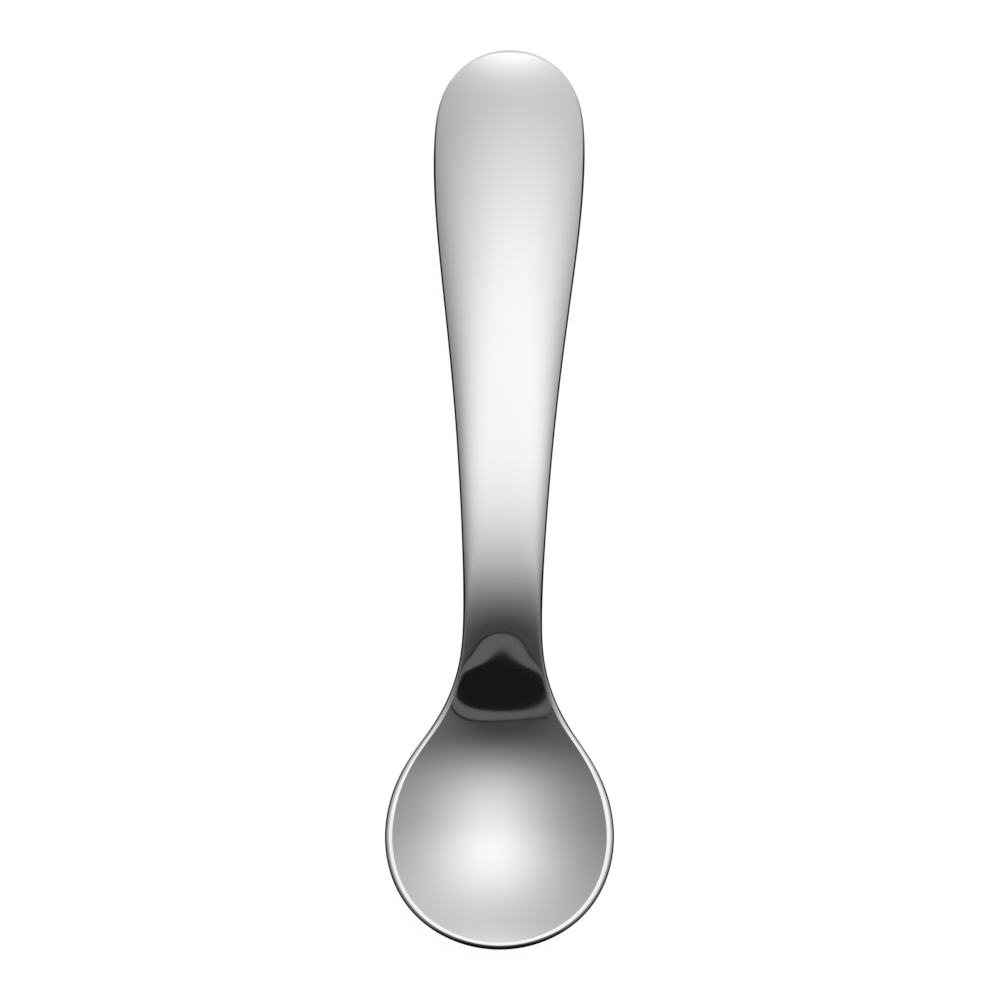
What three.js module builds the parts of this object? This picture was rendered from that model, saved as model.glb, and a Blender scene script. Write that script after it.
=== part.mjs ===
// Child spoon: one piece of polished stainless steel, lying on a table with its bowl open upward.
// Millimetres. X runs across, Y from the bowl's tip to the end of the handle, Z up from the table.
// The skin is swept round the plan outline. Each column of it crosses from the centre line of the
// upper side, over the rim or the edge of the handle, to the centre line of the underside.

import * as THREE from 'three';
import { mergeVertices } from 'three/addons/utils/BufferGeometryUtils.js';

// Plan outline, seen from above
const bowlFrontLength = 16.3; // tip of the bowl to its widest place
const bowlBackLength = 32.2; // widest place of the bowl to the narrowest place of the neck
const handleTaperLength = 65.7; // narrowest place of the neck to the widest place of the handle
const handleEndLength = 15.8; // widest place of the handle to its end
const bowlWidth = 33.1;
const shoulderLength = 15.2; // widest place of the bowl to the middle of its shoulder
const shoulderWidth = 20.8;
const shoulderTaper = 0.684; // how fast each side closes in at the shoulder, in mm per mm
const neckWidth = 11.4;
const handleWidth = 21.8;
const tipRadius = 17.8;
const bowlSideRadius = 16.8;
const shoulderRadius = 32; // hollow curve of the side where the shoulder turns into the neck
const neckSideRadius = 123; // hollow curve of the side at the neck
const handleSideRadius = 66.6;
const endRadius = 10.6;

// Bowl
const bowlDepth = 5; // rim to the deepest place of the floor
const frontDepth = 5.1; // depth that the floor's curve is drawn to where it leaves the tip
const floorThickness = 1.35;
const rimWidth = 1.05; // flat land and rounded lip together, round the bowl
const neckRimWidth = 0.4; // where the rim dies out into the edges of the handle
const lipShare = 0.65; // how much of the rim's width is the rounded lip, the rest being flat land
const lipHeight = 0.38;
const lipPower = 2; // 1 is a flat bevel, 2 is a lip that rounds over evenly into the land
const underLipHeight = 0.3;
const tipLift = 0.35; // how far the rim rises at the tip
const tipSteepness = 2.8; // slope of the rim at the tip, as a multiple of its mean rise to there

// Side view of the edge line
const neckStart = 40.566; // tip to the place where the edge climbs fastest
const neckClimb = 2.336; // height of the edge there above the rim beside the bowl
const neckSlope = 0.4139;
const crestStart = 68.4; // tip to the highest place of the handle
const crestClimb = 8.55; // height of the edge there above the rim beside the bowl
const crestRadius = 80;
const endSlope = 0.45;

// Cross-section of the handle
const neckCrown = 0.655; // height of the upper side above the edge line
const handleCrown = 2.74;
const neckBelly = 2.2; // depth of the underside below the edge line
const handleBelly = 1.3;
const neckSquareness = 2.7; // 1 is an oval section, more is a flatter top with rolled edges
const throatSquareness = 20; // the same for the upper side of the throat, which is nearly flat across
const throatStart = 34; // tip to the place where the flat throat starts to turn into the handle
const throatEnd = 62; // tip to the place where it has done so
const sectionLead = 6; // how far before the narrowest place of the neck its section starts to change
const sectionTrail = 4; // how far before the widest place of the handle it is the handle's section
const crownPower = 0.645; // 0.5 is an oval upper side, more meets the edge at a sharper angle
const neckEase = 0.12; // keeps the upper side from falling straight down at its edge, more is softer
const handleEase = 0.067;
const handleEaseLength = 35; // neck to the place where the handle's crisper edge is reached
const endEase = 2.5;
const endEaseLength = 21; // how far back the softer edge of the handle's end reaches
const fadeStart = 28.43; // tip to the place where the bowl's section starts to turn into the handle's
const fadeLength = 27.63;

// Slight step across the throat, where the bowl's back wall runs out
const stepAt = 40; // tip to the middle of the step
const stepLength = 4.13; // middle of the step to its highest and its lowest place
const stepHeight = 0.129;
const stepHalfWidth = 7.74; // centre line to where the step dies out

// Flats worn under the bowl and the end of the handle, where they touch the table
const wornDepth = 0.12;
const endWornShare = 0.75; // how much of the bulge under the end of the handle is worn flat

// Fineness of the skin
const frontSegments = 14;
const backSegments = 20;
const handleSegments = 22;
const endSegments = 10;
const lipRings = 4;
const floorRings = 10;
const floorGrading = 1.2; // 1 spaces the rings of the floor evenly, more draws them closer to the rim
const searchStep = 0.05; // step in mm of the search for the lowest place of the handle's end
const probe = 0.01; // reach in mm of a slope that is worked out by difference

// A smooth line through stations, each with a value, a slope and a bend. Between two stations it is the
// fifth-order curve that meets all six.
class StationLine {
  constructor(stations) {
    this.stations = stations;
  }

  at(s) {
    let i = 0;
    while (i < this.stations.length - 2 && s > this.stations[i + 1].s) i += 1;
    const a = this.stations[i];
    const b = this.stations[i + 1];
    const h = b.s - a.s;
    const t = (s - a.s) / h;
    const t2 = t * t;
    const t3 = t2 * t;
    const t4 = t3 * t;
    const t5 = t4 * t;
    const rise = 10 * t3 - 15 * t4 + 6 * t5;
    return a.value * (1 - rise) + b.value * rise
      + a.slope * h * (t - 6 * t3 + 8 * t4 - 3 * t5)
      + b.slope * h * (-4 * t3 + 7 * t4 - 3 * t5)
      + a.bend * h * h * 0.5 * (t2 - 3 * t3 + 3 * t4 - t5)
      + b.bend * h * h * 0.5 * (t3 - 2 * t4 + t5);
  }
}

// Places along the spoon, measured from the tip
const widestAt = bowlFrontLength;
const shoulderAt = widestAt + shoulderLength;
const neckAt = widestAt + bowlBackLength;
const handleAt = neckAt + handleTaperLength;
const overallLength = handleAt + handleEndLength;

const { smootherstep, lerp } = THREE.MathUtils;

// Width of the rim along the spoon, round the bowl and to where it dies out at the neck
function rimAt(s) {
  return lerp(rimWidth, neckRimWidth, smootherstep(s, widestAt, neckAt));
}

// Square of the half-width along the spoon, for the outline moved inward by a width that varies along it
function outlineSquared(insetAt) {
  const slant = Math.hypot(1, shoulderTaper);
  const tip = insetAt(0);
  const end = insetAt(overallLength);
  const bowl = bowlWidth / 2 - insetAt(widestAt);
  const shoulder = shoulderWidth / 2 - insetAt(shoulderAt) * slant;
  const neck = neckWidth / 2 - insetAt(neckAt);
  const handle = handleWidth / 2 - insetAt(handleAt);
  return new StationLine([
    { s: tip, value: 0, slope: 2 * (tipRadius - tip), bend: -2 },
    { s: widestAt, value: bowl ** 2, slope: 0, bend: (-2 * bowl) / (bowlSideRadius - insetAt(widestAt)) },
    {
      s: shoulderAt,
      value: shoulder ** 2,
      slope: -2 * shoulder * shoulderTaper,
      bend: 2 * (shoulderTaper ** 2 + (shoulder * slant ** 3) / shoulderRadius),
    },
    { s: neckAt, value: neck ** 2, slope: 0, bend: (2 * neck) / (neckSideRadius + insetAt(neckAt)) },
    { s: handleAt, value: handle ** 2, slope: 0, bend: (-2 * handle) / (handleSideRadius - insetAt(handleAt)) },
    { s: overallLength - end, value: 0, slope: -2 * (endRadius - end), bend: -2 },
  ]);
}

const outerLine = outlineSquared(() => 0);
const innerLine = outlineSquared(rimAt);
const outerMiddle = (bowlWidth / 2) ** 2;
const innerMiddle = (bowlWidth / 2 - rimWidth) ** 2;

// Height of the edge at the end of the handle. The underside bulges below the edge there and rests on the
// table, where part of the bulge is worn flat.
function endEdgeHeight() {
  let height = 0;
  for (let back = 0; back < handleEndLength; back += searchStep) {
    const half = Math.sqrt(Math.max(outerLine.at(overallLength - back), 0));
    height = Math.max(height, (handleBelly * half) / (handleWidth / 2) - endSlope * back);
  }
  return height * (1 - endWornShare);
}

const rimEdgeHeight = bowlDepth + floorThickness - lipHeight - wornDepth;
const edgeLine = new StationLine([
  { s: 0, value: rimEdgeHeight + tipLift, slope: (-tipSteepness * tipLift) / bowlFrontLength, bend: 0 },
  { s: widestAt, value: rimEdgeHeight, slope: 0, bend: 0 },
  { s: neckStart, value: rimEdgeHeight + neckClimb, slope: neckSlope, bend: 0 },
  { s: crestStart, value: rimEdgeHeight + crestClimb, slope: 0, bend: -1 / crestRadius },
  { s: overallLength, value: endEdgeHeight(), slope: -endSlope, bend: 0 },
]);

// Share of the handle's section at a place along the spoon, from 0 in the bowl to 1 past the neck
function handleShare(s) {
  return smootherstep(s, fadeStart, fadeStart + fadeLength);
}

// Share of the lip's width that is still left to cross at a distance in from the outline
function leftToCross(distance, width) {
  return 1 - Math.min(distance / width, 1);
}

// How softly the crown meets the edge: crisply along the handle and gently round its end
function edgeEaseAt(s) {
  const along = smootherstep(s, neckAt, neckAt + handleEaseLength);
  const end = smootherstep(s, overallLength - endEaseLength, overallLength);
  return lerp(neckEase, handleEase, along) * (endEase / handleEase) ** end;
}

// How far the crown has risen where the section is full by a share, from 0 at the edge to 1
function crownRise(share, ease) {
  const foot = ease ** crownPower;
  return ((share + ease) ** crownPower - foot) / ((1 + ease) ** crownPower - foot);
}

// How far the step in the throat lowers the upper side, or lifts it where negative
function throatStep(x, s) {
  const t = (s - stepAt) / stepLength;
  return stepHeight * t * Math.exp((-t * t) / 2) * (1 - (x / stepHalfWidth) ** 2);
}

// Values that both sides of the skin need at a point of the plan
function planPoint(x, s) {
  const squared = Math.max(outerLine.at(s), 0);
  const inside = Math.max(squared - x * x, 0);
  const change = (outerLine.at(s + probe) - outerLine.at(s - probe)) / (2 * probe);
  const toHandle = smootherstep(s, neckAt - sectionLead, handleAt - sectionTrail);
  const front = Math.max(1 - s / widestAt, 0);
  return {
    inside,
    left: leftToCross(inside / Math.hypot(2 * x, change), lipShare * rimAt(s)),
    depth: lerp(bowlDepth, frontDepth, front * front),
    toHandle,
    halfShare: Math.sqrt(squared) / (handleWidth / 2),
    across: squared > 1e-9 ? Math.min((x * x) / squared, 1) : 1,
    squareness: lerp(neckSquareness, 1, toHandle),
  };
}

function upperHeight(x, s) {
  const p = planPoint(x, s);
  const floor = Math.max(innerLine.at(s) - x * x, 0) / innerMiddle;
  const bowl = lipHeight * (1 - p.left ** lipPower) - p.depth * floor;
  const ease = edgeEaseAt(s);
  const crown = lerp(neckCrown / crownRise((neckWidth / handleWidth) ** 2, ease), handleCrown, p.toHandle);
  const flat = 1 - smootherstep(s, throatStart, throatEnd);
  const fullness = 1 - p.across ** lerp(p.squareness, throatSquareness, flat);
  const rise = crown * crownRise(p.halfShare ** 2 * fullness, ease);
  return edgeLine.at(s) + lerp(bowl, rise, handleShare(s)) - throatStep(x, s);
}

function lowerHeight(x, s) {
  const p = planPoint(x, s);
  const wall = p.depth - lipHeight + floorThickness - underLipHeight;
  const bowl = underLipHeight * Math.sqrt(1 - p.left ** 2) + (wall * p.inside) / outerMiddle;
  const belly = lerp((neckBelly * handleWidth) / neckWidth, handleBelly, p.toHandle);
  const round = belly * p.halfShare * Math.sqrt(1 - p.across ** p.squareness);
  return Math.max(edgeLine.at(s) - lerp(bowl, round, handleShare(s)), 0);
}

// Columns of the skin down one long side, from the tip to the end of the handle. Each has its place on
// the outline, on the inner line of the rim and on the centre line.
function sideColumns() {
  const columns = [];
  const add = (outer, inner, spine) => columns.push({
    outer: new THREE.Vector2(Math.sqrt(Math.max(outerLine.at(outer), 0)), outer),
    inner: new THREE.Vector2(Math.sqrt(Math.max(innerLine.at(inner), 0)), inner),
    spine: new THREE.Vector2(0, spine),
  });
  for (let i = 0; i < frontSegments; i += 1) {
    const turn = 1 - Math.cos((i / frontSegments) * (Math.PI / 2));
    add(widestAt * turn, lerp(rimWidth, widestAt, turn), widestAt);
  }
  for (let i = 0; i < backSegments; i += 1) {
    const s = lerp(widestAt, neckAt, i / backSegments);
    add(s, s, s);
  }
  for (let i = 0; i < handleSegments; i += 1) {
    const s = lerp(neckAt, handleAt, i / handleSegments);
    add(s, s, s);
  }
  for (let i = 0; i <= endSegments; i += 1) {
    const turn = Math.sin((i / endSegments) * (Math.PI / 2));
    add(handleAt + handleEndLength * turn, lerp(handleAt, overallLength - neckRimWidth, turn), handleAt);
  }
  columns[0].outer.x = 0;
  columns[0].inner.x = 0;
  columns.at(-1).outer.x = 0;
  columns.at(-1).inner.x = 0;
  return columns;
}

// Plan points of a column from the outline inward: round the lip, over the land, then to the centre line
function pathInward(column) {
  const path = [];
  for (let i = 0; i <= lipRings; i += 1) {
    const reach = lipShare * (1 - Math.cos((i / lipRings) * (Math.PI / 2)));
    path.push(column.outer.clone().lerp(column.inner, reach));
  }
  for (let i = 0; i <= floorRings; i += 1) {
    path.push(column.inner.clone().lerp(column.spine, (i / floorRings) ** floorGrading));
  }
  return path;
}

// One loop of skin points per column: in along the underside and out along the upper side
function loopOf(column, side) {
  const path = pathInward(column);
  const point = (p, height) => new THREE.Vector3(side * p.x, p.y - overallLength / 2, height);
  const upper = path.map((p) => point(p, upperHeight(p.x, p.y)));
  const lower = path.map((p) => point(p, lowerHeight(p.x, p.y)));
  upper[0].copy(lower[0]).setZ(edgeLine.at(column.outer.y));
  lower[0].copy(upper[0]);
  return [...upper.reverse(), ...lower.slice(1)];
}

function spoonGeometry() {
  const right = sideColumns();
  const left = right.slice(1, -1).reverse();
  const loops = [...right.map((c) => loopOf(c, 1)), ...left.map((c) => loopOf(c, -1))];
  const rings = loops[0].length;
  const positions = loops.flat().flatMap((p) => p.toArray());
  const index = [];
  for (let c = 0; c < loops.length; c += 1) {
    const next = (c + 1) % loops.length;
    for (let r = 0; r < rings - 1; r += 1) {
      const a = c * rings + r;
      const b = next * rings + r;
      index.push(a, a + 1, b + 1, a, b + 1, b);
    }
  }
  const skin = new THREE.BufferGeometry();
  skin.setAttribute('position', new THREE.Float32BufferAttribute(positions, 3));
  skin.setIndex(index);
  const closed = mergeVertices(skin, 1e-3);
  closed.setIndex(withoutCollapsed(closed.index.array));
  closed.computeVertexNormals();
  return closed;
}

// Triangles that keep three different corners once the loops meet along the centre lines
function withoutCollapsed(corners) {
  const kept = [];
  for (let i = 0; i < corners.length; i += 3) {
    const [a, b, c] = corners.slice(i, i + 3);
    if (a !== b && b !== c && c !== a) kept.push(a, b, c);
  }
  return kept;
}

const polishedSteel = new THREE.MeshStandardMaterial({ color: 0xd8d8d6, metalness: 1, roughness: 0.08 });
const spoon = new THREE.Mesh(spoonGeometry(), polishedSteel);
spoon.name = 'spoon';

const group = new THREE.Group();
group.name = 'child_spoon';
group.add(spoon);

export default group;
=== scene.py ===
"""Studio scene of a child's spoon: one piece of polished steel, seen from straight above on a white floor.

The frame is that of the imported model: X across, Y from the tip of the bowl to the end of the handle, and Z up
from the table. Sizes of the spoon are in millimetres and turn into metres where its mesh is made.
"""

import logging
import math
from collections.abc import Callable
from dataclasses import dataclass, field
from enum import Enum

import bmesh
import bpy
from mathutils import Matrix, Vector


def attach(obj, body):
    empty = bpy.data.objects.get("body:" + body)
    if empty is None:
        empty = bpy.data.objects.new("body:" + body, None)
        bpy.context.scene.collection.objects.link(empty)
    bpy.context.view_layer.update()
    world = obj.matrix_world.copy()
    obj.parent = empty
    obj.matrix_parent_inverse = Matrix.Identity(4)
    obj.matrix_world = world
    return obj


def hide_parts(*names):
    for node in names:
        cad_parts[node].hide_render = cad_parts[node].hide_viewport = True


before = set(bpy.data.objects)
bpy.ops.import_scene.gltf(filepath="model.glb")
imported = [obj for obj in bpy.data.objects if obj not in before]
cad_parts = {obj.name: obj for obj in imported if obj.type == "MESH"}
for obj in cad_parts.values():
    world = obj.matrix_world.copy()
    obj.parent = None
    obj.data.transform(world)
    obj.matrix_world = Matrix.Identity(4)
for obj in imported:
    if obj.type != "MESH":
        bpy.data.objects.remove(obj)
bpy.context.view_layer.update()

# Metres in a millimetre, the step in millimetres over which slopes are measured, and the least divisor
MM = 0.001
PROBE = 0.01
TINY = 1e-9

# Places of the colour inputs and of the colour output on Blender's Mix node
MIX_COLOUR_A = 6
MIX_COLOUR_B = 7
MIX_COLOUR_RESULT = 2

Socket = bpy.types.NodeSocket
Number = Socket | float
log = logging.getLogger("child_spoon")


def mix(start: float, end: float, share: float) -> float:
    """Value that lies a share of the way from start to end."""
    return start + (end - start) * share


def ease(value: float, start: float, end: float) -> float:
    """Smooth climb from 0 at start to 1 at end, level at both."""
    t = min(max((value - start) / (end - start), 0.0), 1.0)
    return t * t * t * (t * (6.0 * t - 15.0) + 10.0)


def slope_of(line: Callable[[float], float], s: float) -> float:
    """Slope of a line at a place, measured over a short step to both sides."""
    return (line(s + PROBE) - line(s - PROBE)) / (2.0 * PROBE)


class Side(Enum):
    """The two skins of the spoon that meet along its outline."""

    UPPER = "upper"
    LOWER = "lower"


@dataclass(frozen=True)
class Station:
    """A place that a smooth line passes through, with its value, slope and bend there."""

    at: float
    value: float
    slope: float
    bend: float


class StationLine:
    """A smooth line through stations, with a fifth-order curve from each to the next."""

    def __init__(self, stations: list[Station]) -> None:
        """Keeps the stations in their order along the spoon."""
        self.stations = stations

    def at(self, s: float) -> float:
        """Value of the line at a place.

        Args:
            s: Distance from the tip of the bowl.

        Returns:
            The value of the line there.
        """
        i = 0
        while i < len(self.stations) - 2 and s > self.stations[i + 1].at:
            i += 1
        a = self.stations[i]
        b = self.stations[i + 1]
        h = b.at - a.at
        t = (s - a.at) / h
        t2 = t * t
        t3 = t2 * t
        t4 = t3 * t
        t5 = t4 * t
        rise = 10.0 * t3 - 15.0 * t4 + 6.0 * t5
        value = a.value * (1.0 - rise) + b.value * rise
        value += a.slope * h * (t - 6.0 * t3 + 8.0 * t4 - 3.0 * t5)
        value += b.slope * h * (-4.0 * t3 + 7.0 * t4 - 3.0 * t5)
        value += a.bend * h * h * 0.5 * (t2 - 3.0 * t3 + 3.0 * t4 - t5)
        value += b.bend * h * h * 0.5 * (t3 - 2.0 * t4 + t5)
        return value


@dataclass
class SpoonForm:
    """Sizes of the spoon in millimetres, and the heights of its upper side and underside."""

    # Outline seen from above
    bowl_front_length: float = 16.3
    bowl_back_length: float = 32.2
    handle_taper_length: float = 65.7
    handle_end_length: float = 15.8
    bowl_width: float = 33.1
    shoulder_length: float = 15.2
    shoulder_width: float = 20.8
    shoulder_taper: float = 0.684
    neck_width: float = 11.4
    handle_width: float = 21.8
    tip_radius: float = 17.8
    bowl_side_radius: float = 16.8
    shoulder_radius: float = 32.0
    neck_side_radius: float = 123.0
    handle_side_radius: float = 66.6
    end_radius: float = 10.6

    # Bowl, rim and lip
    bowl_depth: float = 5.0
    front_depth: float = 5.1
    floor_thickness: float = 1.35
    rim_width: float = 1.05
    neck_rim_width: float = 0.4
    lip_share: float = 0.65
    lip_height: float = 0.38
    lip_power: float = 2.0
    under_lip_height: float = 0.3
    tip_lift: float = 0.35
    tip_steepness: float = 2.8

    # Bevel along the edge
    bevel_width: float = 0.25
    tip_bevel_width: float = 0.54
    tip_bevel_length: float = 6.0
    bevel_slope: float = 0.9
    bevel_least_slope: float = 0.316
    end_bevel_width: float = 0.18
    end_bevel_length: float = 6.0
    end_bevel_slope: float = 1.12
    end_bevel_start: float = 0.45
    end_bevel_full: float = 0.8
    bevel_under_slope: float = 0.3

    # Edge line seen from the side
    neck_start: float = 40.566
    neck_climb: float = 2.336
    neck_slope: float = 0.4139
    crest_start: float = 68.4
    crest_climb: float = 8.544
    crest_radius: float = 80.0
    end_slope: float = 0.45
    end_worn_share: float = 0.75
    worn_depth: float = 0.12
    search_step: float = 0.05

    # Crown and belly of the neck and the handle
    neck_crown: float = 0.655
    handle_crown: float = 2.74
    neck_belly: float = 2.2
    handle_belly: float = 1.3
    neck_squareness: float = 2.7
    section_lead: float = 6.0
    section_trail: float = 4.0
    crown_power: float = 0.645
    neck_ease: float = 0.12
    handle_ease: float = 0.067
    handle_ease_length: float = 35.0
    end_ease: float = 2.5
    end_ease_length: float = 21.0

    # Throat between the bowl and the neck
    throat_squareness: float = 20.0
    throat_start: float = 34.0
    throat_end: float = 62.0
    fade_start: float = 28.43
    fade_length: float = 27.63
    step_at: float = 40.0
    step_length: float = 4.13
    step_height: float = 0.129
    step_half_width: float = 7.74

    outer_line: StationLine = field(init=False)
    inner_line: StationLine = field(init=False)
    edge_line: StationLine = field(init=False)

    def __post_init__(self) -> None:
        """Draws the outline, the inner line of the rim and the edge line in side view."""
        self.widest_at = self.bowl_front_length
        self.shoulder_at = self.widest_at + self.shoulder_length
        self.neck_at = self.widest_at + self.bowl_back_length
        self.handle_at = self.neck_at + self.handle_taper_length
        self.overall_length = self.handle_at + self.handle_end_length
        self.outer_line = self._outline_squared(lambda s: 0.0)
        self.inner_line = self._outline_squared(self.rim_at)
        self.edge_line = self._edge_stations()

    def rim_at(self, s: float) -> float:
        """Width of the rim at a place along the spoon."""
        return mix(self.rim_width, self.neck_rim_width, ease(s, self.widest_at, self.neck_at))

    def _outline_squared(self, inset_at: Callable[[float], float]) -> StationLine:
        """Square of the half-width along the spoon, for the outline moved inward.

        Args:
            inset_at: Gives how far the outline moves inward at a place along the spoon.

        Returns:
            A line whose square root is the half-width.
        """
        slant = math.hypot(1.0, self.shoulder_taper)
        tip = inset_at(0.0)
        end = inset_at(self.overall_length)
        bowl = self.bowl_width / 2.0 - inset_at(self.widest_at)
        shoulder = self.shoulder_width / 2.0 - inset_at(self.shoulder_at) * slant
        neck = self.neck_width / 2.0 - inset_at(self.neck_at)
        handle = self.handle_width / 2.0 - inset_at(self.handle_at)
        bowl_bend = -2.0 * bowl / (self.bowl_side_radius - inset_at(self.widest_at))
        shoulder_bend = 2.0 * (self.shoulder_taper**2 + shoulder * slant**3 / self.shoulder_radius)
        neck_bend = 2.0 * neck / (self.neck_side_radius + inset_at(self.neck_at))
        handle_bend = -2.0 * handle / (self.handle_side_radius - inset_at(self.handle_at))
        return StationLine(
            [
                Station(tip, 0.0, 2.0 * (self.tip_radius - tip), -2.0),
                Station(self.widest_at, bowl**2, 0.0, bowl_bend),
                Station(self.shoulder_at, shoulder**2, -2.0 * shoulder * self.shoulder_taper, shoulder_bend),
                Station(self.neck_at, neck**2, 0.0, neck_bend),
                Station(self.handle_at, handle**2, 0.0, handle_bend),
                Station(self.overall_length - end, 0.0, -2.0 * (self.end_radius - end), -2.0),
            ]
        )

    def _end_edge_height(self) -> float:
        """Height of the edge at the handle's end, whose underside bulges below it and rests on the table."""
        height = 0.0
        for step in range(int(self.handle_end_length / self.search_step)):
            back = step * self.search_step
            half = math.sqrt(max(self.outer_line.at(self.overall_length - back), 0.0))
            height = max(height, self.handle_belly * half / (self.handle_width / 2.0) - self.end_slope * back)
        return height * (1.0 - self.end_worn_share)

    def _edge_stations(self) -> StationLine:
        """Line of the rim and of the handle's edges in side view."""
        rim = self.bowl_depth + self.floor_thickness - self.lip_height - self.worn_depth
        tip_slope = -self.tip_steepness * self.tip_lift / self.bowl_front_length
        return StationLine(
            [
                Station(0.0, rim + self.tip_lift, tip_slope, 0.0),
                Station(self.widest_at, rim, 0.0, 0.0),
                Station(self.neck_start, rim + self.neck_climb, self.neck_slope, 0.0),
                Station(self.crest_start, rim + self.crest_climb, 0.0, -1.0 / self.crest_radius),
                Station(self.overall_length, self._end_edge_height(), -self.end_slope, 0.0),
            ]
        )

    def _edge_ease(self, s: float) -> float:
        """How softly the crown meets the edge: crisply along the handle and gently round its end."""
        along = ease(s, self.neck_at, self.neck_at + self.handle_ease_length)
        end = ease(s, self.overall_length - self.end_ease_length, self.overall_length)
        return mix(self.neck_ease, self.handle_ease, along) * (self.end_ease / self.handle_ease) ** end

    def _crown_rise(self, share: float, soft: float) -> float:
        """How far the crown has risen where the section is full by a share, from 0 at the edge to 1."""
        foot = soft**self.crown_power
        return ((share + soft) ** self.crown_power - foot) / ((1.0 + soft) ** self.crown_power - foot)

    def _throat_step(self, x: float, s: float) -> float:
        """How far the slight step in the throat lowers the upper side, or lifts it where it is negative."""
        t = (s - self.step_at) / self.step_length
        side = 1.0 - (x / self.step_half_width) ** 2
        return self.step_height * t * math.exp(-t * t / 2.0) * side

    def _from_outline(self, x: float, s: float) -> tuple[float, tuple[float, float]]:
        """Distance from the outline and the direction that leads inward.

        Args:
            x: Distance from the centre line.
            s: Distance from the tip of the bowl.

        Returns:
            The distance, which is exact at the outline, and a plan direction of length 1.
        """
        inside = max(self.outer_line.at(s) - x * x, 0.0)
        change = slope_of(self.outer_line.at, s)
        steep = max(math.hypot(2.0 * x, change), TINY)
        return inside / steep, (-2.0 * x / steep, change / steep)

    def _bevel_at(self, s: float) -> float:
        """Width of the bevel at a place along the spoon."""
        end = ease(s, self.overall_length - self.end_bevel_length, self.overall_length)
        rest = mix(self.bevel_width, self.end_bevel_width, end)
        return mix(self.tip_bevel_width, rest, ease(s, 0.0, self.tip_bevel_length))

    def height(self, side: Side, x: float, s: float) -> float:
        """Height of one skin above the table, with the narrow bevel that runs along the edge.

        Args:
            side: Which of the two skins.
            x: Distance from the centre line.
            s: Distance from the tip of the bowl.

        Returns:
            The height in millimetres.
        """
        distance, inward = self._from_outline(x, s)
        bevel = self._bevel_at(s)
        left = bevel - distance
        if left <= 0.0:
            return self._skin(side, x, s)
        top = (x + inward[0] * left, s + inward[1] * left)

        def crest_at(step: float) -> float:
            """Height of the bevel's upper line, a step along it."""
            return self._skin(Side.UPPER, top[0] + inward[1] * step, top[1] - inward[0] * step)

        along = slope_of(crest_at, 0.0)
        slant = math.hypot(inward[0], inward[1] - slope_of(self._bevel_at, s))
        slope = self.bevel_slope
        if s > self.neck_at:
            turned = ease(-inward[1], self.end_bevel_start, self.end_bevel_full)
            slope = mix(self.bevel_slope, self.end_bevel_slope, turned)
        fall = math.sqrt(max(slope**2 - along**2, self.bevel_least_slope**2)) / slant
        crest = crest_at(0.0)
        if side is Side.UPPER:
            return max(crest - fall * left, 0.0)
        foot = crest - fall * bevel
        under = foot - self.bevel_under_slope * (bevel - left)
        return max(min(self._skin(side, x, s), under), 0.0)

    def _skin(self, side: Side, x: float, s: float) -> float:
        """Height of one skin above the table, as it would be without the bevel.

        Args:
            side: Which of the two skins.
            x: Distance from the centre line.
            s: Distance from the tip of the bowl.

        Returns:
            The height in millimetres.
        """
        squared = max(self.outer_line.at(s), 0.0)
        lip = self.lip_share * self.rim_at(s)
        left = 1.0 - min(self._from_outline(x, s)[0] / lip, 1.0)
        front = max(1.0 - s / self.widest_at, 0.0)
        depth = mix(self.bowl_depth, self.front_depth, front * front)
        to_handle = ease(s, self.neck_at - self.section_lead, self.handle_at - self.section_trail)
        squareness = mix(self.neck_squareness, 1.0, to_handle)
        across = min(x * x / squared, 1.0) if squared > TINY else 1.0
        half_share = math.sqrt(squared) / (self.handle_width / 2.0)
        share = ease(s, self.fade_start, self.fade_start + self.fade_length)
        edge = self.edge_line.at(s)
        if side is Side.UPPER:
            inner_middle = (self.bowl_width / 2.0 - self.rim_width) ** 2
            floor = max(self.inner_line.at(s) - x * x, 0.0) / inner_middle
            bowl = self.lip_height * (1.0 - left**self.lip_power) - depth * floor
            soft = self._edge_ease(s)
            narrow = self.neck_crown / self._crown_rise((self.neck_width / self.handle_width) ** 2, soft)
            crown = mix(narrow, self.handle_crown, to_handle)
            flat = 1.0 - ease(s, self.throat_start, self.throat_end)
            fullness = 1.0 - across ** mix(squareness, self.throat_squareness, flat)
            crown *= self._crown_rise(half_share**2 * fullness, soft)
            return edge + mix(bowl, crown, share) - self._throat_step(x, s)
        fullness = 1.0 - across**squareness
        wall = depth - self.lip_height + self.floor_thickness - self.under_lip_height
        bowl = self.under_lip_height * math.sqrt(1.0 - left**2)
        bowl += wall * max(squared - x * x, 0.0) / (self.bowl_width / 2.0) ** 2
        belly = mix(self.neck_belly * self.handle_width / self.neck_width, self.handle_belly, to_handle)
        return max(edge - mix(bowl, belly * half_share * math.sqrt(fullness), share), 0.0)


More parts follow.
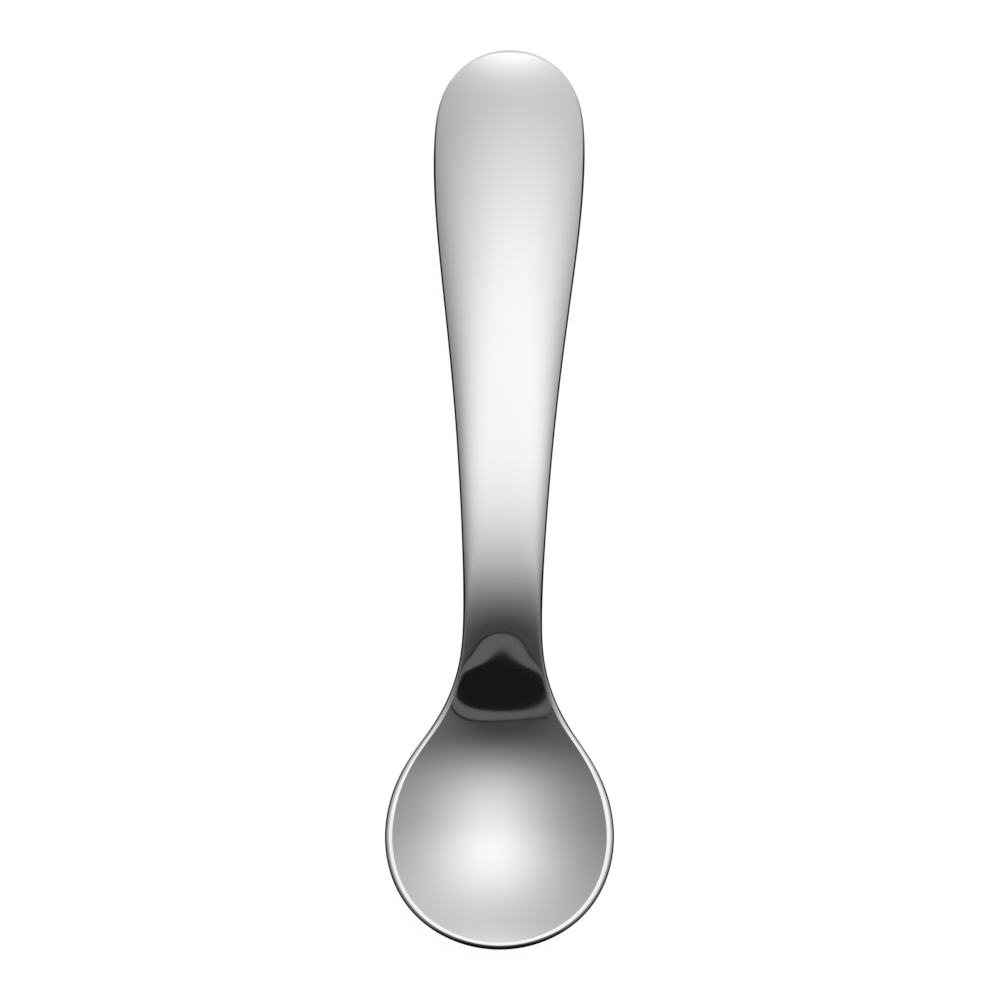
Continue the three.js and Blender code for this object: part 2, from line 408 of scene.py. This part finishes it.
class NodeBench:
    """Adds nodes to a material or world and joins them."""

    def __init__(self, tree: bpy.types.NodeTree) -> None:
        """Clears the tree and keeps it."""
        self.tree = tree
        self.tree.nodes.clear()

    def add(self, kind: str, **settings: object) -> bpy.types.Node:
        """Adds a node.

        Args:
            kind: Blender's name of the node type.
            **settings: Properties of the node by name.

        Returns:
            The new node.
        """
        node = self.tree.nodes.new(kind)
        for name, value in settings.items():
            setattr(node, name, value)
        return node

    def feed(self, node: bpy.types.Node, socket: str | int, value: object) -> None:
        """Joins an output to an input, or sets the input's own value.

        Args:
            node: The node that has the input.
            socket: Name or number of the input.
            value: An output socket, or a plain number, colour or vector.
        """
        target = node.inputs[socket]
        if isinstance(value, Socket):
            self.tree.links.new(value, target)
        else:
            target.default_value = value

    def sum_up(self, operation: str, *values: Number) -> Socket:
        """Works out one step of arithmetic.

        Args:
            operation: Blender's name of the operation.
            *values: The numbers or outputs that go in.

        Returns:
            The result.
        """
        node = self.add("ShaderNodeMath", operation=operation)
        for place, value in enumerate(values):
            self.feed(node, place, value)
        return node.outputs[0]

    def ramp(self, value: Number, start: float, end: float, low: float = 0.0, high: float = 1.0) -> Socket:
        """Climbs smoothly from one level to another.

        Args:
            value: The number that decides the place on the climb.
            start: Where the climb begins.
            end: Where the climb is over.
            low: Level before it.
            high: Level after it.

        Returns:
            The level.
        """
        node = self.add("ShaderNodeMapRange", interpolation_type="SMOOTHSTEP")
        for place, number in enumerate((value, start, end, low, high)):
            self.feed(node, place, number)
        return node.outputs[0]


@dataclass(frozen=True)
class PolishedSteel:
    """Mirror-polished stainless steel with the faint unevenness that hand polishing leaves."""

    name: str = "polished_steel"
    bright: tuple[float, float, float, float] = (0.61, 0.61, 0.61, 1.0)
    dull: tuple[float, float, float, float] = (0.59, 0.59, 0.59, 1.0)
    roughness_low: float = 0.02
    roughness_high: float = 0.04
    worn_roughness: float = 0.22
    cloud_scale: float = 60.0
    cloud_detail: float = 4.0
    cloud_low: float = 0.3
    cloud_high: float = 0.7
    wave_scale: float = 70.0
    wave_detail: float = 1.0
    wave_height: float = 0.0000015
    hair_stretch: tuple[float, float, float] = (2600.0, 60.0, 400.0)
    hair_detail: float = 3.0
    hair_height: float = 0.00000005
    hair_roughness: float = 0.012
    worn_low: float = 0.00004
    worn_high: float = 0.00025

    def _noise(self, bench: NodeBench, place: Socket, scale: float, detail: float) -> Socket:
        """Soft uneven pattern.

        Args:
            bench: Where the nodes go.
            place: Coordinates that it follows.
            scale: How fine it is.
            detail: How many finer layers it has.

        Returns:
            The pattern, from 0 to 1.
        """
        noise = bench.add("ShaderNodeTexNoise")
        bench.feed(noise, "Vector", place)
        bench.feed(noise, "Scale", scale)
        bench.feed(noise, "Detail", detail)
        return noise.outputs["Fac"]

    def _bump(self, bench: NodeBench, height: Socket, distance: float) -> bpy.types.Node:
        """Relief on the surface.

        Args:
            bench: Where the nodes go.
            height: The relief, from 0 to 1.
            distance: Its real height in metres.

        Returns:
            The bump node.
        """
        bump = bench.add("ShaderNodeBump")
        bench.feed(bump, "Strength", 1.0)
        bench.feed(bump, "Distance", distance)
        bench.feed(bump, "Height", height)
        return bump

    def _hairlines(self, bench: NodeBench, place: Socket) -> Socket:
        """Fine lines along the spoon that the polishing wheel leaves.

        Args:
            bench: Where the nodes go.
            place: Object coordinates.

        Returns:
            The height of the lines, from 0 to 1.
        """
        stretch = bench.add("ShaderNodeMapping")
        bench.feed(stretch, "Vector", place)
        bench.feed(stretch, "Scale", self.hair_stretch)
        return self._noise(bench, stretch.outputs["Vector"], 1.0, self.hair_detail)

    def material(self) -> bpy.types.Material:
        """Makes the material.

        Returns:
            The new material.
        """
        steel = bpy.data.materials.new(self.name)
        steel.use_nodes = True
        bench = NodeBench(steel.node_tree)
        output = bench.add("ShaderNodeOutputMaterial")
        shader = bench.add("ShaderNodeBsdfPrincipled")
        place = bench.add("ShaderNodeTexCoord").outputs["Object"]
        cloud = self._noise(bench, place, self.cloud_scale, self.cloud_detail)
        tint = bench.add("ShaderNodeMix", data_type="RGBA")
        bench.feed(tint, "Factor", cloud)
        bench.feed(tint, MIX_COLOUR_A, self.dull)
        bench.feed(tint, MIX_COLOUR_B, self.bright)
        hair = self._hairlines(bench, place)
        gloss = bench.ramp(cloud, self.cloud_low, self.cloud_high, self.roughness_low, self.roughness_high)
        gloss = bench.sum_up("MULTIPLY_ADD", hair, self.hair_roughness, gloss)
        height = bench.add("ShaderNodeSeparateXYZ")
        bench.feed(height, 0, place)
        worn = bench.ramp(height.outputs["Z"], self.worn_low, self.worn_high, self.worn_roughness, 0.0)
        wave = self._noise(bench, place, self.wave_scale, self.wave_detail)
        waves = self._bump(bench, wave, self.wave_height)
        lines = self._bump(bench, hair, self.hair_height)
        bench.feed(lines, "Normal", waves.outputs["Normal"])
        bench.feed(shader, "Base Color", tint.outputs[MIX_COLOUR_RESULT])
        bench.feed(shader, "Metallic", 1.0)
        bench.feed(shader, "Roughness", bench.sum_up("ADD", gloss, worn))
        bench.feed(shader, "Normal", lines.outputs["Normal"])
        bench.feed(output, "Surface", shader.outputs["BSDF"])
        return steel


@dataclass(frozen=True)
class Column:
    """One line of the skin, from the outline over the inner line of the rim to the centre line."""

    outer: tuple[float, float]
    inner: tuple[float, float]
    spine: tuple[float, float]

    def point(self, reach: float) -> tuple[float, float]:
        """Plan point on the column.

        Args:
            reach: 0 on the outline, 1 on the inner line of the rim and 2 on the centre line.

        Returns:
            The distances from the centre line and from the tip.
        """
        if reach <= 1.0:
            start, end, share = self.outer, self.inner, reach
        else:
            start, end, share = self.inner, self.spine, reach - 1.0
        return mix(start[0], end[0], share), mix(start[1], end[1], share)


@dataclass
class Spoon:
    """The spoon, swept from its outline in rings to its centre line on both sides."""

    form: SpoonForm = field(default_factory=SpoonForm)
    finish: PolishedSteel = field(default_factory=PolishedSteel)
    front_columns: int = 60
    back_columns: int = 80
    handle_columns: int = 110
    end_columns: int = 44
    lip_rings: int = 8
    land_rings: int = 4
    upper_rings: int = 38
    lower_rings: int = 22
    crease_width: float = 0.05
    crease_ratio: float = 12.0
    ring_grading: float = 1.25
    spine_spread: float = 0.5
    merge_distance: float = 0.0000005

    def _half(self, line: StationLine, s: float) -> float:
        """Half-width of the outline or of the inner line of the rim."""
        return math.sqrt(max(line.at(s), 0.0))

    def _column(self, outer: float, inner: float, spine: float) -> Column:
        """Column that leaves the outline, crosses the rim and reaches the centre line at these places."""
        form = self.form
        return Column(
            (self._half(form.outer_line, outer), outer),
            (self._half(form.inner_line, inner), inner),
            (0.0, spine),
        )

    def _side_columns(self) -> list[Column]:
        """Columns down one long side, from the tip of the bowl to the end of the handle."""
        form = self.form
        columns = []
        for i in range(self.front_columns):
            turn = 1.0 - math.cos(i / self.front_columns * math.pi / 2.0)
            spine = form.widest_at * mix(1.0 - self.spine_spread, 1.0, turn)
            inner = mix(form.rim_width, form.widest_at, turn)
            columns.append(self._column(form.widest_at * turn, inner, spine))
        for i in range(self.back_columns):
            s = mix(form.widest_at, form.neck_at, i / self.back_columns)
            columns.append(self._column(s, s, s))
        for i in range(self.handle_columns):
            s = mix(form.neck_at, form.handle_at, i / self.handle_columns)
            columns.append(self._column(s, s, s))
        last = form.overall_length - form.neck_rim_width
        for i in range(self.end_columns + 1):
            turn = math.sin(i / self.end_columns * math.pi / 2.0)
            spine = form.handle_at + form.handle_end_length * self.spine_spread * turn
            outer = form.handle_at + form.handle_end_length * turn
            columns.append(self._column(outer, mix(form.handle_at, last, turn), spine))
        for i in (0, -1):
            seam = columns[i]
            columns[i] = Column((0.0, seam.outer[1]), (0.0, seam.inner[1]), seam.spine)
        return columns

    def _reaches(self, side: Side) -> list[float]:
        """How far each ring reaches in from the outline.

        Args:
            side: Which of the two skins.

        Returns:
            The reaches of the rings, from the first one inside the outline to the centre line.
        """
        lip = self.form.lip_share
        turns = [i / self.lip_rings * math.pi / 2.0 for i in range(1, self.lip_rings + 1)]
        reaches = [lip * (1.0 - math.cos(turn)) for turn in turns]
        land_end = 1.0 - self.crease_width
        reaches += [mix(lip, land_end, i / self.land_rings) for i in range(1, self.land_rings + 1)]
        count = self.upper_rings if side is Side.UPPER else self.lower_rings
        first = 1.0 + self.crease_width / self.crease_ratio
        reaches += [1.0, first]
        reaches += [mix(first, 2.0, (i / count) ** self.ring_grading) for i in range(1, count + 1)]
        return reaches

    def _place(self, vert: bmesh.types.BMVert, column: Column, sign: float, reach: float, side: Side) -> None:
        """Moves a vertex to its place on the skin.

        Args:
            vert: The vertex.
            column: The column that it is on.
            sign: 1 on the right of the centre line and -1 on the left.
            reach: How far in from the outline.
            side: Which of the two skins.
        """
        x, s = column.point(reach)
        height = self.form.height(side, x, s)
        vert.co = Vector((sign * x, s - self.form.overall_length / 2.0, height)) * MM

    def _next_ring(self, mesh: bmesh.types.BMesh, ring: list[bmesh.types.BMVert]) -> list[bmesh.types.BMVert]:
        """Extrudes a closed ring of edges.

        Args:
            mesh: The mesh that it is part of.
            ring: The vertices of the ring in order.

        Returns:
            The vertices of the new ring in the same order.
        """
        pairs = zip(ring, ring[1:] + ring[:1])
        edges = [mesh.edges.get(pair) for pair in pairs]
        made = bmesh.ops.extrude_edge_only(mesh, edges=edges)["geom"]
        fresh = {item for item in made if isinstance(item, bmesh.types.BMVert)}
        return [next(e.other_vert(v) for e in v.link_edges if e.other_vert(v) in fresh) for v in ring]

    def build(self) -> bpy.types.Object:
        """Makes the spoon's mesh.

        Returns:
            The new object.
        """
        right = self._side_columns()
        left = right[-2:0:-1]
        columns = [(column, 1.0) for column in right] + [(column, -1.0) for column in left]
        mesh = bmesh.new()
        outline = bmesh.ops.create_circle(mesh, cap_ends=False, segments=len(columns), radius=1.0)["verts"]
        for vert, (column, sign) in zip(outline, columns):
            self._place(vert, column, sign, 0.0, Side.UPPER)
        for side in Side:
            ring = list(outline)
            for reach in self._reaches(side):
                ring = self._next_ring(mesh, ring)
                for vert, (column, sign) in zip(ring, columns):
                    self._place(vert, column, sign, reach, side)
        bmesh.ops.remove_doubles(mesh, verts=mesh.verts[:], dist=self.merge_distance)
        bmesh.ops.recalc_face_normals(mesh, faces=mesh.faces[:])
        for face in mesh.faces:
            face.smooth = True
        data = bpy.data.meshes.new("spoon_body")
        mesh.to_mesh(data)
        mesh.free()
        piece = bpy.data.objects.new("spoon_body", data)
        bpy.context.scene.collection.objects.link(piece)
        return piece

    def dress(self, piece: bpy.types.Object) -> None:
        """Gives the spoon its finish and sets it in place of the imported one."""
        piece.data.materials.append(self.finish.material())
        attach(piece, "root")
        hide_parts("spoon")


@dataclass(frozen=True)
class StudioFloor:
    """White table top that the spoon lies on."""

    radius: float = 3.0
    segments: int = 96
    drop: float = 0.00005
    paint: tuple[float, float, float, float] = (0.8, 0.8, 0.8, 1.0)
    shadow_share: float = 0.12
    glow: float = 0.925

    def _material(self) -> bpy.types.Material:
        """White that keeps a faint shadow, for the eye and for the steel that mirrors it."""
        white = bpy.data.materials.new("white_table")
        white.use_nodes = True
        bench = NodeBench(white.node_tree)
        output = bench.add("ShaderNodeOutputMaterial")
        plain = bench.add("ShaderNodeBsdfDiffuse")
        bench.feed(plain, "Color", self.paint)
        faint = bench.add("ShaderNodeBsdfDiffuse")
        bench.feed(faint, "Color", (self.shadow_share, self.shadow_share, self.shadow_share, 1.0))
        glow = bench.add("ShaderNodeEmission")
        bench.feed(glow, "Strength", self.glow)
        both = bench.add("ShaderNodeAddShader")
        bench.feed(both, 0, faint.outputs[0])
        bench.feed(both, 1, glow.outputs[0])
        path = bench.add("ShaderNodeLightPath")
        seen = bench.sum_up("MAXIMUM", path.outputs["Is Camera Ray"], path.outputs["Is Glossy Ray"])
        seen = bench.sum_up("MAXIMUM", seen, path.outputs["Is Transmission Ray"])
        choice = bench.add("ShaderNodeMixShader")
        bench.feed(choice, 0, seen)
        bench.feed(choice, 1, plain.outputs[0])
        bench.feed(choice, 2, both.outputs[0])
        bench.feed(output, "Surface", choice.outputs[0])
        return white

    def build(self) -> bpy.types.Object:
        """Makes the floor.

        Returns:
            The new object.
        """
        mesh = bmesh.new()
        bmesh.ops.create_circle(mesh, cap_ends=True, segments=self.segments, radius=self.radius)
        bmesh.ops.translate(mesh, verts=mesh.verts[:], vec=(0.0, 0.0, -self.drop))
        data = bpy.data.meshes.new("white_table")
        mesh.to_mesh(data)
        mesh.free()
        floor = bpy.data.objects.new("white_table", data)
        floor.data.materials.append(self._material())
        bpy.context.scene.collection.objects.link(floor)
        return floor


@dataclass(frozen=True)
class StudioLight:
    """Soft light: a wide lamp overhead, a white cove behind the handle, low dark cards and a dim room."""

    # Lamp overhead and white cove behind the handle
    level: float = 1.1
    ambient: float = 0.8
    ambient_right: float = 0.123
    key: float = 2.65
    key_from: tuple[float, float, float] = (0.08, -0.261, 1.0)
    key_width: float = 42.2
    key_power: float = 1.886
    cove: float = 1.03
    cove_from: tuple[float, float, float] = (0.0, 1.0, -0.139)
    cove_width: float = 19.9
    cove_power: float = 2.0

    # Dim room in front, paler low down
    front: float = -0.126
    room: float = 0.078
    room_low: float = 0.2
    room_low_end: float = 18.0
    room_dim_start: float = 27.0

    # Plain dark doorway in the room, with a grey frame
    doorway_top: float = 0.9185
    doorway_tilt: float = 0.03
    doorway_swing: float = -0.11
    doorway_inner_top: float = 0.873
    doorway_inner_rise: float = 0.05
    doorway_least_depth: float = 0.001
    doorway_front: float = -0.1
    doorway_front_end: float = -0.05
    doorway_foot: float = 0.62
    doorway_foot_soft: float = 0.05
    doorway_half_width: float = 0.62
    doorway_side_soft: float = 0.03
    doorway_soft: float = 0.0015
    doorway_line_width: float = 0.009
    doorway_line: float = 0.005
    doorway_frame: float = 0.16
    doorway_dark: float = 0.012

    # Dark cards that stand low at the sides and in front, and the white horizon under them
    horizon_soft: float = 0.002
    card_low: float = 2.2
    card_high: float = 8.0
    card_fade: float = 12.0
    card_dark: float = 0.03
    card_back_start: float = 0.35
    card_back_end: float = 0.85

    def _lamp(
        self,
        bench: NodeBench,
        place: Socket,
        lamp_from: tuple[float, float, float],
        width: float,
        power: float,
    ) -> Socket:
        """Brightness of a soft lamp, 1 in its middle.

        Args:
            bench: Where the nodes go.
            place: Direction from the spoon.
            lamp_from: Direction of the lamp's middle.
            width: Angle at which it has fallen to about a third, in degrees.
            power: How squarely it falls off.

        Returns:
            The brightness as a socket.
        """
        dot = bench.add("ShaderNodeVectorMath", operation="DOT_PRODUCT")
        bench.feed(dot, 0, place)
        bench.feed(dot, 1, Vector(lamp_from).normalized())
        angle = bench.sum_up("ARCCOSINE", dot.outputs["Value"])
        share = bench.sum_up("DIVIDE", angle, math.radians(width))
        fall = bench.sum_up("POWER", share, power)
        return bench.sum_up("EXPONENT", bench.sum_up("MULTIPLY", fall, -1.0))

    def _doorway(self, bench: NodeBench, light: Socket, across: Socket, along: Socket, up: Socket) -> Socket:
        """Sets a plain dark doorway with a grey frame into the room in front.

        Args:
            bench: Where the nodes go.
            light: Brightness of the room.
            across: X of the direction.
            along: Y of the direction.
            up: Z of the direction.

        Returns:
            The brightness with the doorway in it.
        """
        depth = bench.sum_up("MAXIMUM", bench.sum_up("MULTIPLY", along, -1.0), self.doorway_least_depth)
        high = bench.sum_up("DIVIDE", up, depth)
        aside = bench.sum_up("DIVIDE", across, depth)
        wide = bench.sum_up("ABSOLUTE", aside)
        half = self.doorway_half_width
        soft = self.doorway_side_soft
        within = bench.ramp(wide, half - soft, half + soft, 1.0, 0.0)
        in_front = bench.ramp(along, self.doorway_front, self.doorway_front_end, 1.0, 0.0)
        within = bench.sum_up("MULTIPLY", within, in_front)
        foot = self.doorway_foot
        foot_soft = self.doorway_foot_soft
        within = bench.sum_up("MULTIPLY", within, bench.ramp(high, foot - foot_soft, foot + foot_soft))
        squared = bench.sum_up("MULTIPLY", wide, wide)
        bend = bench.sum_up("MULTIPLY_ADD", squared, -self.doorway_swing, -self.doorway_tilt)
        frame_high = bench.sum_up("MULTIPLY_ADD", aside, bend, high)
        inner_high = bench.sum_up("MULTIPLY_ADD", squared, -self.doorway_inner_rise, high)
        layers = (
            (frame_high, self.doorway_top + self.doorway_line_width, self.doorway_line),
            (frame_high, self.doorway_top, self.doorway_frame),
            (inner_high, self.doorway_inner_top, self.doorway_dark),
        )
        for level, top, tone in layers:
            below = bench.ramp(level, top - self.doorway_soft, top + self.doorway_soft, 1.0, 0.0)
            share = bench.sum_up("MULTIPLY", within, below)
            change = bench.sum_up("SUBTRACT", tone, light)
            light = bench.sum_up("MULTIPLY_ADD", change, share, light)
        return light

    def build(self) -> None:
        """Makes the world that lights the scene."""
        world = bpy.data.worlds.new("soft_studio")
        world.use_nodes = True
        bpy.context.scene.world = world
        bench = NodeBench(world.node_tree)
        output = bench.add("ShaderNodeOutputWorld")
        background = bench.add("ShaderNodeBackground")
        place = bench.add("ShaderNodeTexCoord").outputs["Generated"]
        parts = bench.add("ShaderNodeSeparateXYZ")
        bench.feed(parts, 0, place)
        across, along, up = parts.outputs
        light = bench.sum_up("MULTIPLY_ADD", across, self.ambient_right, self.ambient)
        key = self._lamp(bench, place, self.key_from, self.key_width, self.key_power)
        light = bench.sum_up("MULTIPLY_ADD", key, self.key, light)
        cove = self._lamp(bench, place, self.cove_from, self.cove_width, self.cove_power)
        light = bench.sum_up("MULTIPLY_ADD", cove, self.cove, light)
        slope = (1.0 - self.front) / 2.0
        facing = bench.sum_up("MAXIMUM", bench.sum_up("MULTIPLY_ADD", along, slope, self.front + slope), 0.0)
        angles = (self.room_low_end, self.room_dim_start, self.card_low, self.card_high, self.card_fade)
        pale, dim, low, high, fade = (math.sin(math.radians(angle)) for angle in angles)
        room = bench.ramp(up, pale, dim, self.room_low, self.room)
        light = bench.sum_up("MAXIMUM", bench.sum_up("MULTIPLY", light, facing), room)
        light = self._doorway(bench, light, across, along, up)
        card = bench.ramp(up, high, fade, 1.0, 0.0)
        not_behind = bench.ramp(along, self.card_back_start, self.card_back_end, 1.0, 0.0)
        card = bench.sum_up("MULTIPLY", card, not_behind)
        shade = bench.sum_up("MULTIPLY_ADD", card, self.card_dark - 1.0, 1.0)
        light = bench.sum_up("MULTIPLY", light, shade)
        horizon = bench.ramp(up, low - self.horizon_soft, low, 1.0, 0.0)
        change = bench.sum_up("SUBTRACT", 1.0 / self.level, light)
        light = bench.sum_up("MULTIPLY_ADD", change, horizon, light)
        bench.feed(background, "Color", (1.0, 1.0, 1.0, 1.0))
        bench.feed(background, "Strength", bench.sum_up("MULTIPLY", light, self.level))
        bench.feed(output, "Surface", background.outputs[0])


@dataclass(frozen=True)
class OverheadCamera:
    """Camera straight above the spoon, turned so that the handle leans a little to the right."""

    distance: float = 4.0
    aim_height: float = 0.004
    spoon_length: float = 0.130
    spoon_pixels: float = 900.0
    frame_pixels: float = 1000.0
    lean: float = 0.82
    centre_right: float = 4.3
    centre_up: float = 0.4
    sensor_width: float = 36.0
    clip_start: float = 0.01
    clip_end: float = 20.0

    def build(self) -> bpy.types.Object:
        """Makes the camera and gives it to the scene.

        Returns:
            The new object.
        """
        data = bpy.data.cameras.new("overhead")
        data.sensor_fit = "HORIZONTAL"
        frame_width = self.spoon_length * self.frame_pixels / self.spoon_pixels
        data.sensor_width = self.sensor_width
        data.lens = data.sensor_width * self.distance / frame_width
        data.clip_start = self.clip_start
        data.clip_end = self.clip_end
        camera = bpy.data.objects.new("overhead", data)
        lean = math.radians(self.lean)
        pixel = frame_width / self.frame_pixels
        right = -self.centre_right * pixel
        up = -self.centre_up * pixel
        across = right * math.cos(lean) - up * math.sin(lean)
        along = right * math.sin(lean) + up * math.cos(lean)
        camera.location = (across, along, self.aim_height + self.distance)
        camera.rotation_euler = (0.0, 0.0, lean)
        bpy.context.scene.collection.objects.link(camera)
        bpy.context.scene.camera = camera
        return camera


def main() -> None:
    """Builds the studio and the spoon in order and reports each piece."""
    logging.basicConfig(level=logging.INFO)
    bpy.context.scene.view_settings.view_transform = "Standard"
    OverheadCamera().build()
    StudioLight().build()
    StudioFloor().build()
    spoon = Spoon()
    piece = spoon.build()
    spoon.dress(piece)
    log.info("%s: %d faces", piece.name, len(piece.data.polygons))


if __name__ == "__main__":
    main()
